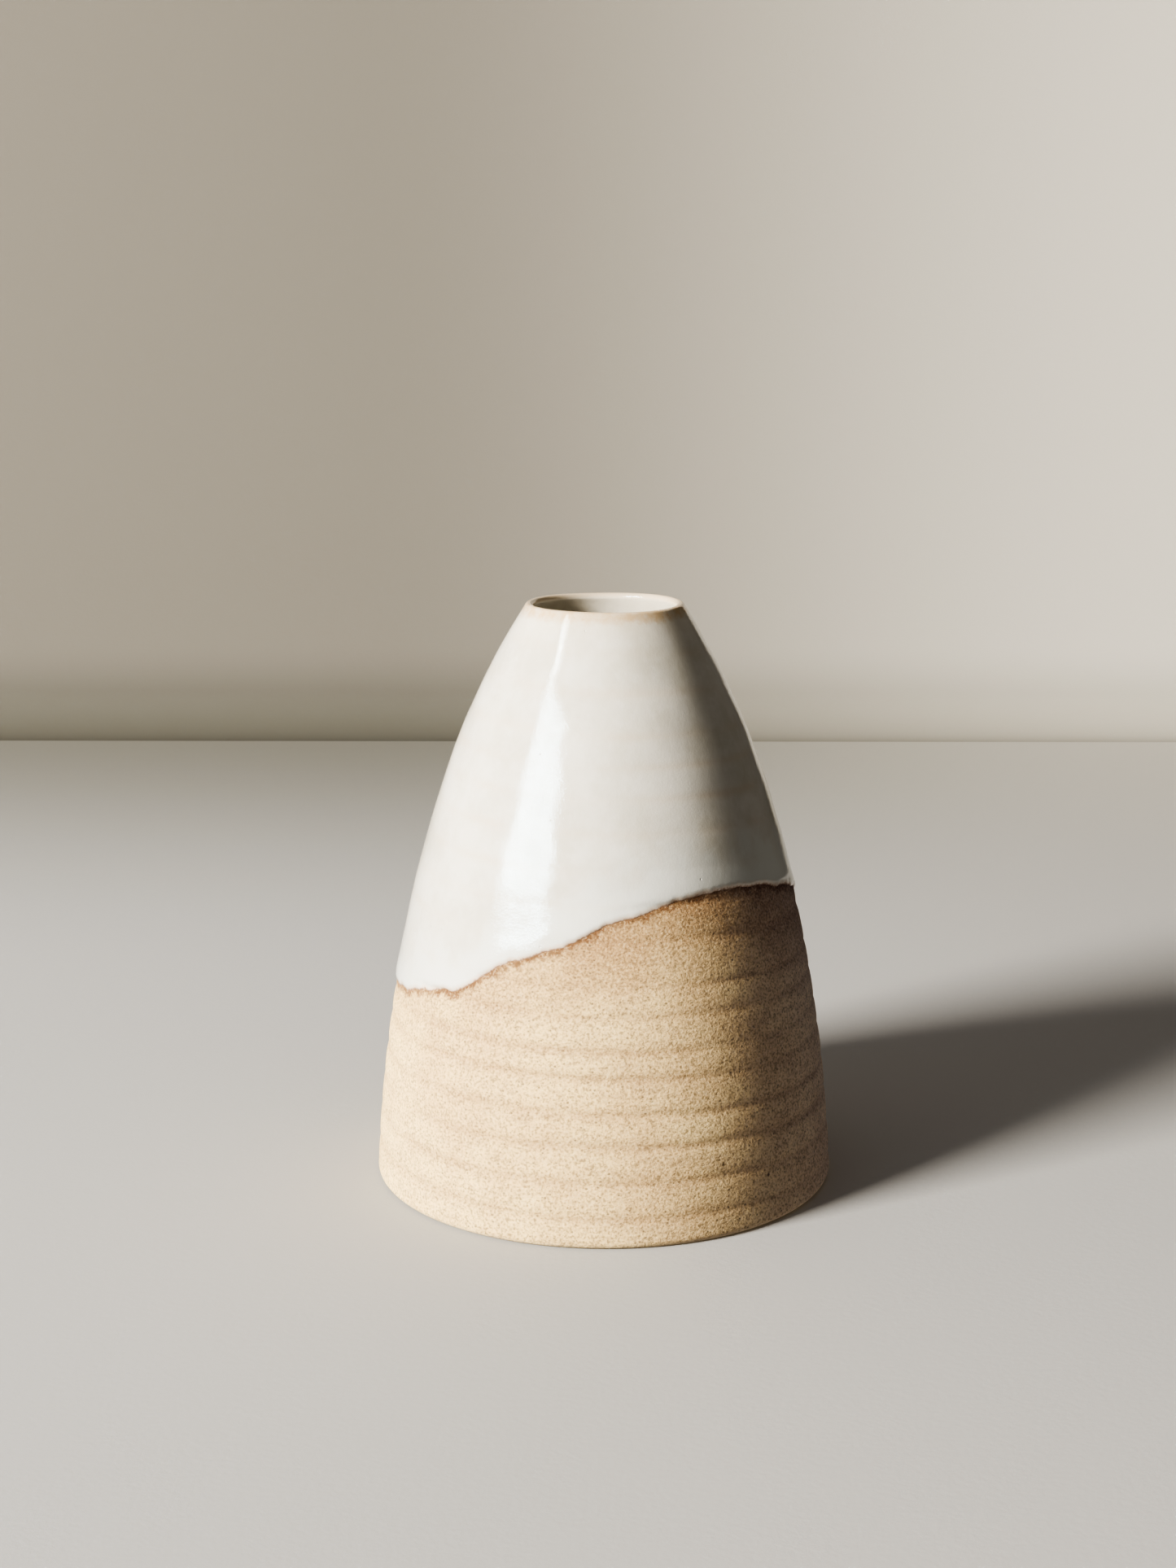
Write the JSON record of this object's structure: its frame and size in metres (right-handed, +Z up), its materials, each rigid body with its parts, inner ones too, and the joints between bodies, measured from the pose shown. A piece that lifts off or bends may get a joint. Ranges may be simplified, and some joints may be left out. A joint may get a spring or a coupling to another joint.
{
  "type": "stoneware bud vase",
  "caption": "Small conical bud vase in stoneware with throwing rings on the bare clay below a slanting glaze line, a glossy off-white glaze above it, and a narrow mouth.",
  "frame": {"origin": "centre of the foot, on the surface that the vase stands on", "axes": "+Z up along the vase's axis; -Y is the front, where the glaze line climbs from left to right; +X to the right of the front"},
  "size_m": [0.0756, 0.0756, 0.095],
  "materials": {
    "bare_clay": "unglazed buff stoneware, finely speckled",
    "outer_glaze": "glossy off-white glaze",
    "liner_glaze": "glossy off-white glaze"
  },
  "bodies": {
    "root": {"clay_body": "bare_clay", "outer_glaze": "outer_glaze", "liner_glaze": "liner_glaze"}
  },
  "joints": []
}
